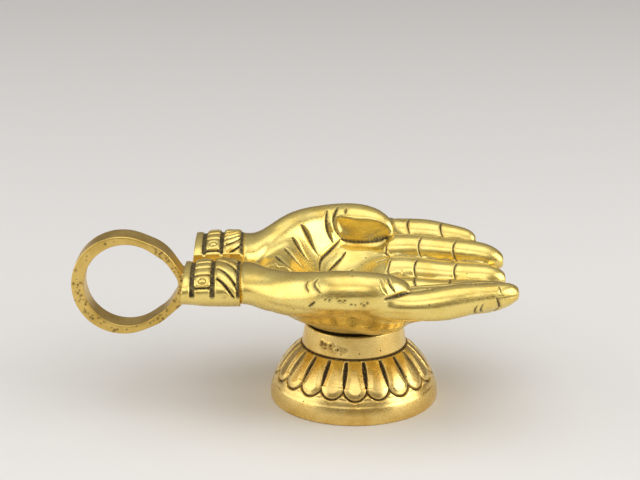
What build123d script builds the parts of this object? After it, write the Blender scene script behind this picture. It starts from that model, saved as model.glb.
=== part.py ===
"""Aarti lamp: two cupped brass hands on a lotus pedestal, with a finger ring behind the wrists.

Millimetres.  The pedestal stands on the table with its axis at the origin.  +X runs out along the
fingers, -Y is the side of the right hand, +Y the side of the left hand and +Z is up.
"""
import os
from math import asin, atan2, cos, degrees, radians, sin, sqrt

from build123d import *

RIGHT, LEFT = -1, 1

# Pedestal
FOOT_R = 31.9           # widest radius, just above the table
FOOT_EDGE_Z = 1.8       # height of the widest radius
FOOT_TUCK = 0.5         # how far the foot draws in at the table
BAND_R = 30.2           # top of the plain band of the foot
BAND_Z = 8.8
SHOULDER_R = 20.4       # top of the petals
SHOULDER_Z = 21.3
FLANK_BULGE = 0.7       # how far the petals swell out of a straight cone
NECK_STEP = 0.6         # ledge between the petals and the neck
NECK_R = 18.6           # neck at its rim
NECK_Z = 30.2
RIM_WALL = 3.0
SHELL = 3.3             # wall of the hollow foot
WEB_TOP_Z = 26.0        # recessed floor inside the neck rim
WEB = 6.5
PETALS = 20
PETAL_TIP = 0.1         # lowest point of a petal, as a share of the flank
PETAL_LINE = 0.45       # radius of the engraved line around a petal tip
GROOVE_AT = 0.62        # middle of the dark groove between two petals, as a share of the flank
GROOVE_HALF = 6.0       # half length of the groove
GROOVE_R = 1.05         # its radius at the middle
GROOVE_SINK = 0.2

# Stud, washer and nut
THREAD_R = 4.0
FIT = 0.06              # radial clearance on the shank
FLANGE_R = 10.0
FLANGE = 3.5
SEAT_MARGIN = 1.0       # cuts under the belly beyond the flange and beyond the neck rim
NECK_GAP = 1.0          # dark gap between the neck rim and the belly
STUD_END_Z = 8.0
WASHER_R = 8.0
WASHER = 1.6
NUT_FLATS = 13.0
NUT = 6.5

# Wrists and cuffs
WRIST_X = -42.0         # shoulder that stops the cuff
WRIST_Y = 17.5
WRIST_Z = 51.3
WRIST_RY = 12.3
WRIST_RZ = 7.2
CUFF_RY = 14.0
CUFF_RZ = 7.9
CUFF_GROOVE_DEPTH = 0.7
CUFF_GROOVE = 1.1
CUFF_BANDS = {          # widths from the wrist outwards: leaves, panels, plain
    RIGHT: (8.4, 6.2, 4.2),
    LEFT: (6.7, 5.4, 4.7),
}
CUFF_SLANT = 6.0        # lean of the open end, degrees
STUB_RY = 10.6
STUB_RZ = 5.4
STUB_GAP = 0.3
STUB_SHORT = 1.6        # stub end inside the mouth of the cuff

# Finger ring
TANG_HALF = 5.0         # half width of the ring band and of its tang
RING_X = -87.1
RING_Z = 45.6
RING_R = 19.3
RING_FRONT_R = 17.6     # rounding of the loop towards the cuffs
RING_FRONT_REACH = 4.4  # its centre from the centre of the loop
RING_BAND = 3.3         # thickness of the band above and below
RING_BACK = 4.8         # thickness of the band at the back
HOLE_FRONT_R = 13.0     # rounding of the hole towards the cuffs
HOLE_FRONT_REACH = 5.3  # its centre from the centre of the hole
HOLE_TIP_R = 7.0        # rounding of the hole next to the cuffs
HOLE_TIP_REACH = 12.4   # its centre from the centre of the hole
RING_SOFT = 0.5         # rounded edges
TANG_PROUD = 0.5        # where the loop starts, behind the cuffs
TANG_END = 5.0          # gap between the tang and the wrist shoulder
TANG_LOW = 7.4          # tang below the ring centre
TANG_HIGH = 4.6         # tang above the ring centre
TANG_TIP_HIGH = 3.6     # far end of the tang above the middle of the wrists
TANG_TIP_LOW = 3.4      # far end of the tang below the middle of the wrists

# Bowl of the palms: place along X, half width, depth under the rim, height of the rim
BOWL_OUT = (
    (-38, 13.0, 6.0, 49.5),
    (-31, 25.0, 13.5, 52.5),
    (-22, 35.0, 23.5, 56.5),
    (-10, 41.5, 31.0, 61.0),
    (2, 44.0, 32.5, 61.0),
    (18, 43.8, 21.8, 53.3),
)
BOWL_IN = (
    (-29, 7.0, 2.0, 53.0),
    (-22, 20.0, 10.0, 58.0),
    (-12, 31.0, 21.5, 61.0),
    (0, 36.0, 22.5, 61.0),
    (13, 35.7, 16.4, 59.8),
    (22, 34.5, 12.5, 57.0),
)
BOWL_OPEN_Z = 75.0      # the hollow is cut up to here, clear of the thumbs

# Digits: place along X, distance from the seam, height, half width, half height
THUMB_ROOT = (
    (-30, 25.0, 53.0, 11.2, 8.2),
    (-18, 35.0, 55.2, 9.2, 8.4),
)
THUMB_END = (
    (-3, 41.2, 55.6, 8.0, 8.0),
    (8, 40.8, 55.4, 7.3, 7.3),
    (15, 38.8, 55.0, 5.5, 5.5),
    (19.2, 37.2, 54.8, 2.6, 2.6),
)
INDEX = (
    (1, 39.2, 54.0, 2.8, 3.2),
    (13, 41.2, 50.8, 6.0, 6.2),
    (27, 41.0, 51.0, 6.0, 6.0),
    (42, 38.0, 52.4, 5.6, 5.5),
    (50, 36.2, 52.9, 4.8, 4.7),
    (55.4, 34.9, 53.1, 4.0, 3.9),
    (58.7, 34.1, 53.0, 1.8, 1.8),
)
MIDDLE = (
    (1, 32.0, 43.4, 2.8, 3.0),
    (13, 30.2, 46.2, 6.3, 6.2),
    (27, 29.5, 48.3, 6.3, 6.1),
    (44, 27.2, 49.4, 5.9, 5.6),
    (54.6, 25.6, 49.3, 4.7, 4.6),
    (58.4, 24.8, 49.0, 2.2, 2.2),
)
RING_FINGER = (
    (1, 19.5, 35.6, 2.8, 3.0),
    (13, 18.2, 41.2, 6.3, 6.2),
    (27, 17.8, 42.8, 6.4, 6.0),
    (44, 16.2, 44.2, 6.0, 5.4),
    (54.6, 15.0, 44.9, 4.7, 4.5),
    (58.4, 14.3, 45.0, 2.2, 2.2),
)
LITTLE = (
    (1, 6.6, 32.2, 2.8, 3.0),
    (13, 6.3, 37.4, 5.8, 6.0),
    (27, 6.2, 39.0, 5.8, 5.7),
    (42, 5.8, 41.1, 5.4, 5.0),
    (51.4, 5.3, 42.4, 4.2, 4.1),
    (55, 5.0, 42.9, 2.0, 2.0),
)
LEFT_THUMB_REACH = 0.84     # the left thumb and left index finger are shorter
LEFT_INDEX_REACH = 0.82
LEFT_DROOP = 0.11           # slope by which the left fingers lie flatter than the right ones
DROOP_FROM = 26.0           # place along X where both lie level
RIGHT_THUMB_SINK = 2.4      # how much lower the root of the right thumb lies

# Values that follow from the ones above
FLANK_CHORD = sqrt((BAND_R - SHOULDER_R) ** 2 + (SHOULDER_Z - BAND_Z) ** 2)
FLANK_R = (FLANK_CHORD ** 2 / 4 + FLANK_BULGE ** 2) / (2 * FLANK_BULGE)
FLANK_LEAN = degrees(atan2(BAND_R - SHOULDER_R, SHOULDER_Z - BAND_Z))
FLANK_HALF = degrees(asin(FLANK_CHORD / 2 / FLANK_R))
FLANK_ARC = 2 * FLANK_R * radians(FLANK_HALF)
PETAL_STEP = 360 / PETALS
WEB_Z = WEB_TOP_Z - WEB
SEAT_Z = WEB_TOP_Z + FLANGE
CUFF_LENGTH = {side: sum(bands) + CUFF_GROOVE * len(bands) for side, bands in CUFF_BANDS.items()}
CUFF_END_X = WRIST_X - max(CUFF_LENGTH.values())
BIG = 200


def across(x):
    """Sketch plane across the hands at x: its first axis is +Y and its second +Z."""
    return Plane(origin=(x, 0, 0), x_dir=(0, 1, 0), z_dir=(1, 0, 0))


def flank_angle(share):
    """How far the flank's outward direction rises, in degrees, at a share of the way from band to shoulder."""
    return FLANK_LEAN + FLANK_HALF * (2 * share - 1)


def flank_point(share, inset=0.0):
    """Radius and height of a point on the flank, or inset under it."""
    angle = radians(flank_angle(share))
    start = radians(flank_angle(0))
    radius = BAND_R + FLANK_R * (cos(angle) - cos(start)) - inset * cos(angle)
    height = BAND_Z + FLANK_R * (sin(angle) - sin(start)) - inset * sin(angle)
    return radius, height


def pedestal_body():
    """Hollow turned foot, flank and neck with a web inside the neck."""
    bore = THREAD_R + FIT
    well = NECK_R - RIM_WALL
    low_r, low_z = flank_point(0, SHELL)
    web_r = low_r - (WEB_Z - low_z) * (BAND_R - SHOULDER_R) / (SHOULDER_Z - BAND_Z)
    upper = [
        (low_r, low_z),
        (web_r, WEB_Z),
        (bore, WEB_Z),
        (bore, WEB_TOP_Z),
        (well, WEB_TOP_Z),
        (well, NECK_Z),
        (NECK_R, NECK_Z),
        (SHOULDER_R - NECK_STEP, SHOULDER_Z),
        (SHOULDER_R, SHOULDER_Z),
    ]
    band_top = (BAND_R, BAND_Z)
    table_edge = (FOOT_R - FOOT_TUCK, 0)
    outline = Polyline(*upper)
    outline += ThreePointArc(upper[-1], flank_point(0.5), band_top)
    outline += ThreePointArc(band_top, (FOOT_R, FOOT_EDGE_Z), table_edge)
    outline += Polyline(table_edge, (FOOT_R - SHELL, 0), upper[0])
    return revolve(Plane.XZ * make_face(outline), Axis.Z)


def petal_line():
    """Engraved half ring around one petal tip, at the front of the +X axis."""
    tip_r = flank_point(PETAL_TIP)[0] * sin(radians(PETAL_STEP / 2)) - 2 * PETAL_LINE
    share = PETAL_TIP + tip_r / FLANK_ARC
    radius, height = flank_point(share)
    angle = radians(flank_angle(share))
    down = (sin(angle), 0, -cos(angle))
    out = (cos(angle), 0, sin(angle))
    bead = Plane.XZ * Pos(tip_r, 0) * Circle(PETAL_LINE)
    half_ring = Rot(0, 0, -90) * revolve(bead, Axis.Z, 180)
    return Plane(origin=(radius, 0, height), x_dir=down, z_dir=out).location * half_ring


def petal_groove():
    """Spindle that cuts the dark groove between two petals, along the flank."""
    radius, height = flank_point(GROOVE_AT, GROOVE_SINK)
    bow = ThreePointArc((-GROOVE_HALF, 0), (0, GROOVE_R), (GROOVE_HALF, 0))
    lens = make_face(bow + Line((GROOVE_HALF, 0), (-GROOVE_HALF, 0)))
    return Pos(radius, 0, height) * Rot(0, -90 - flank_angle(GROOVE_AT), 0) * revolve(lens, Axis.X)


def lotus_pedestal():
    """Pedestal with a ring of engraved lotus petals."""
    body = pedestal_body()
    line = petal_line()
    groove = petal_groove()
    for i in range(PETALS):
        front = Rot(0, 0, -90 + i * PETAL_STEP)
        body -= front * line
        body -= front * Rot(0, 0, PETAL_STEP / 2) * groove
    return body


def flanged_stud():
    """Flange that carries the bowl, with the threaded shank under it."""
    flange = Pos(0, 0, WEB_TOP_Z) * Cylinder(FLANGE_R, FLANGE, align=(Align.CENTER, Align.CENTER, Align.MIN))
    shank_length = WEB_TOP_Z - STUD_END_Z
    shank = Pos(0, 0, STUD_END_Z) * Cylinder(
        THREAD_R, shank_length, align=(Align.CENTER, Align.CENTER, Align.MIN)
    )
    return flange + shank


def washer():
    """Plain washer against the underside of the web."""
    disc = Circle(WASHER_R) - Circle(THREAD_R + FIT)
    return Pos(0, 0, WEB_Z) * extrude(disc, -WASHER)


def nut():
    """Hexagon nut under the washer."""
    blank = RegularPolygon(NUT_FLATS / 2, 6, major_radius=False) - Circle(THREAD_R + FIT)
    return Pos(0, 0, WEB_Z - WASHER) * extrude(blank, -NUT)


def bowl(stations, top_z=None):
    """Boat shape lofted through half ellipses that hang from a rim, or from straight sides up to top_z."""
    sections = []
    for x, half_width, depth, rim_z in stations:
        hang = EllipticalCenterArc((0, rim_z), half_width, depth, 180, arc_size=180)
        if top_z is None:
            close = Line((half_width, rim_z), (-half_width, rim_z))
        else:
            close = Polyline(
                (half_width, rim_z), (half_width, top_z), (-half_width, top_z), (-half_width, rim_z)
            )
        sections.append(across(x) * make_face(hang + close))
    return loft(sections)


def digit(side, stations):
    """Finger or thumb lofted through ellipses across X, on one side of the seam."""
    return loft([
        across(x) * Pos(side * y, z) * Ellipse(half_width, half_height)
        for x, y, z, half_width, half_height in stations
    ])


def shortened(stations, reach):
    """Stations drawn back towards the first one along X."""
    start = stations[0][0]
    return tuple((start + (s[0] - start) * reach,) + tuple(s[1:]) for s in stations)


def drooped(stations):
    """Stations of a left finger: the root stays in the palm and the rest sinks towards the tip."""
    level = [(x, y, z - LEFT_DROOP * (x - DROOP_FROM), w, h) for x, y, z, w, h in stations[1:]]
    return stations[:1] + tuple(level)


def hand(side):
    """One half of the bowl: palm, thumb, four fingers and the stub that carries the cuff."""
    wrist = (WRIST_X, WRIST_Y, WRIST_Z, WRIST_RY, WRIST_RZ)
    thumb_root = tuple((x, y, z - RIGHT_THUMB_SINK, w, h) for x, y, z, w, h in THUMB_ROOT)
    thumb_end = THUMB_END
    fingers = (INDEX, MIDDLE, RING_FINGER, LITTLE)
    if side == LEFT:
        thumb_root = THUMB_ROOT
        thumb_end = shortened(THUMB_END, LEFT_THUMB_REACH)
        index = shortened(INDEX, LEFT_INDEX_REACH)
        fingers = [drooped(stations) for stations in (index, MIDDLE, RING_FINGER, LITTLE)]
    shape = bowl(BOWL_OUT) - bowl(BOWL_IN, BOWL_OPEN_Z)
    shape -= Pos(0, -side * BIG / 2, 0) * Box(BIG, BIG, BIG)
    shape += digit(side, (wrist,) + thumb_root + thumb_end)
    for stations in fingers:
        shape += digit(side, stations)
    stub = across(WRIST_X) * Pos(side * WRIST_Y, WRIST_Z) * Ellipse(STUB_RY, STUB_RZ)
    shape += extrude(stub, -(CUFF_LENGTH[side] - STUB_SHORT))
    seat = Cylinder(FLANGE_R + SEAT_MARGIN, BIG)
    shape -= Pos(0, 0, SEAT_Z - BIG / 2) * seat
    shape -= Pos(0, 0, NECK_Z + NECK_GAP - BIG / 2) * (Cylinder(NECK_R + SEAT_MARGIN, BIG) - seat)
    return shape


def cuff_profile(side, x, inset):
    """Outline of the cuff across X, flat on the side of the ring tang."""
    oval = Pos(side * WRIST_Y, WRIST_Z) * Ellipse(CUFF_RY - inset, CUFF_RZ - inset)
    return across(x) * (oval - Rectangle(2 * TANG_HALF, BIG))


def cuff(side):
    """Stack of bangles on one wrist stub: three raised bands with grooves between."""
    bore = across(WRIST_X) * Pos(side * WRIST_Y, WRIST_Z) * Ellipse(STUB_RY + STUB_GAP, STUB_RZ + STUB_GAP)
    shape = extrude(cuff_profile(side, WRIST_X, CUFF_GROOVE_DEPTH), -CUFF_LENGTH[side])
    x = WRIST_X
    for width in CUFF_BANDS[side]:
        x -= CUFF_GROOVE
        shape += extrude(cuff_profile(side, x, 0), -width)
        x -= width
    shape -= extrude(bore, -BIG)
    low_end = Pos(WRIST_X - CUFF_LENGTH[side], 0, WRIST_Z - CUFF_RZ)
    mouth = low_end * Rot(0, CUFF_SLANT, 0) * Pos(-BIG / 2, 0, 0)
    return shape - mouth * Box(BIG, BIG, BIG)


def ring_handle():
    """Egg-shaped finger ring with the tang that lies between the cuffs."""
    tang_x = CUFF_END_X - TANG_PROUD
    tip_x = WRIST_X - TANG_END
    tang = Polygon(
        (tang_x, RING_Z - TANG_LOW),
        (tip_x, WRIST_Z - TANG_TIP_LOW),
        (tip_x, WRIST_Z + TANG_TIP_HIGH),
        (tang_x, RING_Z + TANG_HIGH),
        align=None,
    )
    loop = Pos(RING_X, RING_Z) * Circle(RING_R)
    front = Pos(RING_X + RING_FRONT_REACH, RING_Z) * Circle(RING_FRONT_R)
    outer = make_hull(loop.edges() + front.edges() + tang.edges().sort_by(Axis.X)[:1])
    hole_r = RING_R - RING_BAND
    hole_x = RING_X - RING_R + RING_BACK + hole_r
    hole = Pos(hole_x, RING_Z) * Circle(hole_r)
    hole_front = Pos(hole_x + HOLE_FRONT_REACH, RING_Z) * Circle(HOLE_FRONT_R)
    hole_tip = Pos(hole_x + HOLE_TIP_REACH, RING_Z) * Circle(HOLE_TIP_R)
    opening = make_hull(hole.edges() + hole_front.edges() + hole_tip.edges())
    band = extrude(Plane.XZ * (outer + tang - opening), TANG_HALF, both=True)
    return fillet(band.faces().filter_by(Axis.Y).edges(), RING_SOFT)


NODES = {
    "right_hand": hand(RIGHT),
    "left_hand": hand(LEFT),
    "right_cuff": cuff(RIGHT),
    "left_cuff": cuff(LEFT),
    "ring_handle": ring_handle(),
    "flanged_stud": flanged_stud(),
    "lotus_pedestal": lotus_pedestal(),
    "washer": washer(),
    "nut": nut(),
}

os.makedirs("parts", exist_ok=True)
for name, shape in NODES.items():
    export_step(shape, f"parts/{name}.step")
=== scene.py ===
"""Aarti lamp in cast brass: two cupped hands on a lotus pedestal, with a finger ring behind the wrists.

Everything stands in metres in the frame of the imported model: the pedestal's axis is the Z axis, the
fingers point along +X, the right hand lies on the -Y side and the left hand on the +Y side.  Sizes in
the classes below are in millimetres.
"""
import logging
import math
import random
from dataclasses import dataclass, replace
from enum import Enum
from functools import partial

import bpy
import numpy as np
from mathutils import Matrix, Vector


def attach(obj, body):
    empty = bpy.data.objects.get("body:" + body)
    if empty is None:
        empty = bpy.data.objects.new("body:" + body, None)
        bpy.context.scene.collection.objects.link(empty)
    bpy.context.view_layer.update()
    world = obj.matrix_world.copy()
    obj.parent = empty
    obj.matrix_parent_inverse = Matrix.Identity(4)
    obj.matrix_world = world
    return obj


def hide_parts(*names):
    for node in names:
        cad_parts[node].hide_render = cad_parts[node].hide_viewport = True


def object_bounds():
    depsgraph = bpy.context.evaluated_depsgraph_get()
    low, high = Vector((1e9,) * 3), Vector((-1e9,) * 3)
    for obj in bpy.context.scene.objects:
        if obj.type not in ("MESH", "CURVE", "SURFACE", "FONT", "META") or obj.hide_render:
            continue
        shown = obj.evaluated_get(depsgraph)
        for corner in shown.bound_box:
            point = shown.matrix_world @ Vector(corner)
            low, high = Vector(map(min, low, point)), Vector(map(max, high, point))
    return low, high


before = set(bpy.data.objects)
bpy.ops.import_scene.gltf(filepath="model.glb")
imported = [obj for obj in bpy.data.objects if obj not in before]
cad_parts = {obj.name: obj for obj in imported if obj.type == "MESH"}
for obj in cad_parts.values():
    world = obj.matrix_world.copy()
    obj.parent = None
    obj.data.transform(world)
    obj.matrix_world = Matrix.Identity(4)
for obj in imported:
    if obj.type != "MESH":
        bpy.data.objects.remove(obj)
CAD_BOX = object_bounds()

MM = 0.001
WELD = 0.002  # points of a solid that lie closer than this, in millimetres, are one
LOG = logging.getLogger("aarti_lamp")

Point = tuple[float, float, float]
Ramp = tuple[float, float]


class Side(Enum):
    """Which of the two hands a piece belongs to; the value is the sign of its Y."""

    RIGHT = -1
    LEFT = 1


class Taper(Enum):
    """How an engraved line thins out along its run.

    The values are the least width, where on a half wave the line starts, how soon it swells and how
    full its middle is: the smaller the last two, the sooner and the fuller.
    """

    BOTH_ENDS = (0.25, 0.0, 1.0, 0.6)
    FAR_END = (0.2, 0.35, 1.0, 0.8)
    BLUNT = (0.75, 0.0, 1.0, 0.4)
    DART = (0.12, 0.0, 0.65, 1.0)

    def width(self, share: np.ndarray) -> np.ndarray:
        """Width of the line relative to its middle.

        Args:
            share: Place along the line, from 0 to 1.

        Returns:
            The factor on the half width at each place.
        """
        least, start, soon, full = self.value
        wave = np.sin(np.pi * (start + (1 - start) * np.clip(share, 0.0, 1.0) ** soon))
        return least + (1 - least) * np.clip(wave, 0.0, 1.0) ** full


def linear(colour: str) -> tuple[float, float, float, float]:
    """Turn an sRGB hex colour into the linear colour that Blender's sockets take.

    Args:
        colour: Six hex digits with a leading hash sign.

    Returns:
        Linear red, green and blue, with an alpha of 1.
    """
    channels = [int(colour[i:i + 2], 16) / 255 for i in (1, 3, 5)]
    red, green, blue = (c / 12.92 if c <= 0.04045 else ((c + 0.055) / 1.055) ** 2.4 for c in channels)
    return red, green, blue, 1.0


def ease(low: float, high: float, value: np.ndarray) -> np.ndarray:
    """Rise smoothly from 0 to 1.

    Args:
        low: Value where the rise starts.
        high: Value where it ends.
        value: Values to map.

    Returns:
        The eased share of each value.
    """
    share = np.clip((value - low) / (high - low), 0.0, 1.0)
    return share * share * (3 - 2 * share)


def window(rise: Ramp, fall: Ramp, value: np.ndarray) -> np.ndarray:
    """Rise smoothly from 0 to 1, and fall back to 0.

    Args:
        rise: Values where the rise starts and ends.
        fall: Values where the fall starts and ends.
        value: Values to map.

    Returns:
        The share of each value.
    """
    return ease(*rise, value) * (1 - ease(*fall, value))


def add_node(
    tree: bpy.types.NodeTree, kind: str,
    sockets: dict | None = None, links: dict | None = None, **settings: object,
) -> bpy.types.Node:
    """Add a shader node, set it up and link its inputs.

    Args:
        tree: Node tree of the material or world.
        kind: Type name of the node.
        sockets: Constant values by input name or number.
        links: Output sockets by the name or number of the input they feed.
        settings: Properties of the node itself.

    Returns:
        The new node.
    """
    node = tree.nodes.new(kind)
    for name, value in settings.items():
        setattr(node, name, value)
    for key, value in (sockets or {}).items():
        node.inputs[key].default_value = value
    for key, output in (links or {}).items():
        tree.links.new(output, node.inputs[key])
    return node


def select_only(piece: bpy.types.Object) -> None:
    """Make one object the only selected and the active one."""
    bpy.ops.object.select_all(action="DESELECT")
    piece.select_set(True)
    bpy.context.view_layer.objects.active = piece


def apply_modifier(piece: bpy.types.Object, kind: str, **settings: object) -> None:
    """Put a modifier on a piece and apply it.

    Args:
        piece: Object to change.
        kind: Type name of the modifier.
        settings: Properties of the modifier.
    """
    select_only(piece)
    modifier = piece.modifiers.new(kind.lower(), kind)
    for name, value in settings.items():
        setattr(modifier, name, value)
    bpy.ops.object.modifier_apply(modifier=modifier.name)


def cast_blank(node: str, name: str, voxel: float, rounds: int) -> bpy.types.Object:
    """Make the rough casting of a piece: its solid, as one even skin with softened edges.

    Args:
        node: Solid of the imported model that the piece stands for.
        name: Name of the new piece.
        voxel: Size of the skin's faces in millimetres.
        rounds: How many times the skin is relaxed.

    Returns:
        The new object.
    """
    piece = bpy.data.objects.new(name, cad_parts[node].data.copy())
    bpy.context.scene.collection.objects.link(piece)
    piece.data.materials.clear()
    select_only(piece)
    bpy.ops.object.mode_set(mode="EDIT")
    bpy.ops.mesh.select_all(action="SELECT")
    bpy.ops.mesh.remove_doubles(threshold=WELD * MM)
    bpy.ops.object.mode_set(mode="OBJECT")
    apply_modifier(piece, "REMESH", mode="VOXEL", voxel_size=voxel * MM)
    if rounds:
        apply_modifier(piece, "SMOOTH", factor=0.5, iterations=rounds)
    return piece


@dataclass(frozen=True)
class Cut:
    """One engraved line.

    Attributes:
        path: Points that the line runs through, in millimetres.
        half_width: Half of its width.
        depth: How deep it is at its middle.
        taper: How it thins out.
        stain: How much dark patina it holds, from 0 to 1.
        burr: Height of the raised lip along its edges.
    """

    path: tuple[Point, ...]
    half_width: float = 0.5
    depth: float = 0.5
    taper: Taper = Taper.BOTH_ENDS
    stain: float = 1.0
    burr: float = 0.0


@dataclass(frozen=True)
class Profile:
    """Section of a groove or a pit; distances count in its own half widths.

    Attributes:
        reach: How far from its middle it is felt.
        wall: Steepness of its walls.
        lip_place: Distance of its raised lip from the middle.
        lip_edge: Steepness of the lip.
        fade: Steepness at which its patina fades.
    """

    reach: float
    wall: float
    lip_place: float
    lip_edge: float
    fade: float


GROOVE = Profile(reach=3.5, wall=1.4, lip_place=1.9, lip_edge=4.0, fade=1.1)
PIT = Profile(reach=3.0, wall=1.5, lip_place=1.6, lip_edge=5.0, fade=1.2)


class Skin:
    """Surface of a piece while it is carved, with its points in millimetres and its layer of patina and
    painted shade.
    """

    def __init__(self, piece: bpy.types.Object) -> None:
        """Take over a piece's mesh."""
        self.piece = piece
        self.read()

    def read(self) -> None:
        """Read the points and outward directions of the mesh, and start with no patina and no painted
        shade.
        """
        mesh = self.piece.data
        flat = np.empty(len(mesh.vertices) * 3)
        mesh.vertices.foreach_get("co", flat)
        self.points = flat.reshape(-1, 3) / MM
        self.stain = np.zeros(len(mesh.vertices))
        self.read_normals()

    def read_normals(self) -> None:
        """Read the outward directions of the mesh."""
        flat = np.empty(len(self.piece.data.vertices) * 3)
        self.piece.data.vertex_normals.foreach_get("vector", flat)
        self.normals = flat.reshape(-1, 3)

    def write(self) -> None:
        """Put the points back into the mesh."""
        self.piece.data.vertices.foreach_set("co", (self.points * MM).ravel())
        self.piece.data.update()
        bpy.context.view_layer.update()
        self.read_normals()

    def keep_inside(self) -> None:
        """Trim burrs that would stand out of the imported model's box."""
        low, high = (np.array(corner) / MM for corner in CAD_BOX)
        np.clip(self.points, low, high, out=self.points)

    def facing_down(self) -> np.ndarray:
        """Tell how far points belong to the underside, from 0 to 1."""
        return ease(0.2, -0.2, self.normals[:, 2])

    def darken_patina_and_shade(self, stain: np.ndarray) -> None:
        """Darken the layer of patina and painted shade where a new stain is darker."""
        self.stain = np.maximum(self.stain, stain)

    def relax(self, rounds: int, share: np.ndarray) -> None:
        """Smooth part of the surface.

        Args:
            rounds: How many times points are averaged with their neighbours.
            share: How far each point follows, from 0 to 1.
        """
        self.points += (self.averaged(rounds) - self.points) * share[:, None]

    def snapped(self, path: tuple[Point, ...], step: float = 0.4) -> np.ndarray:
        """Lay a path on the surface.

        Args:
            path: Points of the path.
            step: Distance between the points that are laid.

        Returns:
            Points on the surface along the rounded path.
        """
        line = np.array(path, float)
        for _ in range(2 if len(line) > 2 else 0):
            cut = np.empty((2 * len(line), 3))
            cut[0], cut[-1] = line[0], line[-1]
            cut[1:-1:2] = 0.75 * line[:-1] + 0.25 * line[1:]
            cut[2:-1:2] = 0.25 * line[:-1] + 0.75 * line[1:]
            line = cut
        place = np.concatenate(([0.0], np.cumsum(np.linalg.norm(np.diff(line, axis=0), axis=1))))
        count = max(2, int(place[-1] / step) + 1)
        even = np.linspace(0.0, place[-1], count)
        dense = np.stack([np.interp(even, place, line[:, axis]) for axis in range(3)], 1)
        return np.array([self.piece.closest_point_on_mesh(Vector(p) * MM)[1] / MM for p in dense])

    def dropped(self, path: np.ndarray, down: np.ndarray, height: float = 20.0) -> np.ndarray:
        """Drop points on the surface.

        Args:
            path: Points to drop.
            down: Direction in which they fall.
            height: How far back they start.

        Returns:
            The points that landed.
        """
        landed = []
        for point in path:
            start = Vector(point - down * height) * MM
            hit, place, _, _ = self.piece.ray_cast(start, Vector(down))
            if hit:
                landed.append(np.array(place) / MM)
        return np.array(landed)

    def beside(self, path: np.ndarray, reach: float) -> tuple[np.ndarray, np.ndarray, np.ndarray]:
        """Find the points of the surface along a path.

        Args:
            path: Points of the path.
            reach: How far from the path to look.

        Returns:
            The numbers of the points, their distance from the path, and how far along it each lies,
            from 0 to 1.
        """
        inside = (self.points > path.min(0) - reach) & (self.points < path.max(0) + reach)
        near = np.flatnonzero(inside.all(1))
        spots = self.points[near]
        gap = np.full(len(near), np.inf)
        share = np.zeros(len(near))
        runs = np.linalg.norm(np.diff(path, axis=0), axis=1)
        whole = max(runs.sum(), 1e-6)
        done = 0.0
        for start, end, run in zip(path[:-1], path[1:], runs):
            part = np.clip((spots - start) @ (end - start) / max(run * run, 1e-9), 0.0, 1.0)
            away = np.linalg.norm(spots - start - part[:, None] * (end - start), axis=1)
            closer = away < gap
            gap[closer] = away[closer]
            share[closer] = (done + part[closer] * run) / whole
            done += run
        return near, gap, share

    def refine(self, paths: list[np.ndarray], reach: float) -> None:
        """Split the faces along some paths, so that fine cuts have points to move.

        Args:
            paths: Paths on the surface.
            reach: Width of the strip on each side.
        """
        wanted = np.zeros(len(self.points), bool)
        for path in paths:
            near, gap, _ = self.beside(path, reach)
            wanted[near[gap < reach]] = True
        select_only(self.piece)
        bpy.ops.object.mode_set(mode="EDIT")
        bpy.ops.mesh.select_mode(type="VERT")
        bpy.ops.mesh.select_all(action="DESELECT")
        bpy.ops.object.mode_set(mode="OBJECT")
        self.piece.data.vertices.foreach_set("select", wanted)
        bpy.ops.object.mode_set(mode="EDIT")
        bpy.ops.mesh.select_mode(type="FACE")
        bpy.ops.mesh.subdivide(number_cuts=1)
        bpy.ops.object.mode_set(mode="OBJECT")
        self.read()

    def press(
        self, near: np.ndarray, gap: np.ndarray, profile: Profile,
        depth: float | np.ndarray, lip: float, stain: float,
    ) -> None:
        """Press a groove or a pit into the surface.

        Args:
            near: Numbers of the points.
            gap: Their distance from its middle, in its half widths.
            profile: Its section.
            depth: Its depth.
            lip: Height of the raised lip beside it.
            stain: How dark it is.
        """
        drop = depth * np.exp(-profile.wall * gap ** 2)
        drop = drop - lip * np.exp(-profile.lip_edge * (gap - profile.lip_place) ** 2)
        self.points[near] -= self.normals[near] * drop[:, None]
        self.stain[near] = np.maximum(self.stain[near], stain * np.exp(-profile.fade * gap ** 2))

    def engrave(self, cut: Cut, path: np.ndarray) -> None:
        """Press one line into the surface.

        Args:
            cut: Width, depth and taper of the line.
            path: The line on the surface.
        """
        near, gap, share = self.beside(path, GROOVE.reach * cut.half_width)
        thin = cut.taper.width(share)
        sink = cut.depth * np.minimum(1.0, thin)
        self.press(near, gap / (cut.half_width * thin), GROOVE, sink, cut.burr, cut.stain)

    def pit(self, centre: np.ndarray, radius: float, depth: float, stain: float, rim: float = 0.0) -> None:
        """Sink one round casting pit.

        Args:
            centre: Its middle on the surface.
            radius: Its radius.
            depth: Its depth.
            stain: How dark it is.
            rim: Height of the raised edge round it.
        """
        near = np.flatnonzero(np.abs(self.points - centre).max(1) < PIT.reach * radius)
        gap = np.linalg.norm(self.points[near] - centre, axis=1) / radius
        self.press(near, gap, PIT, depth, rim, stain)

    def averaged(self, rounds: int) -> np.ndarray:
        """Average every point with its neighbours.

        Args:
            rounds: How many times.

        Returns:
            The points of the relaxed surface.
        """
        mesh = self.piece.data
        flat = np.empty(len(mesh.edges) * 2, np.int64)
        mesh.edges.foreach_get("vertices", flat)
        first, second = flat.reshape(-1, 2).T
        count = len(self.points)
        degree = np.bincount(flat, minlength=count)[:, None]
        values = self.points.copy()
        for _ in range(rounds):
            total = np.stack([
                np.bincount(first, values[second, axis], count)
                + np.bincount(second, values[first, axis], count)
                for axis in range(3)
            ], 1)
            values = total / degree
        return values

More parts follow.
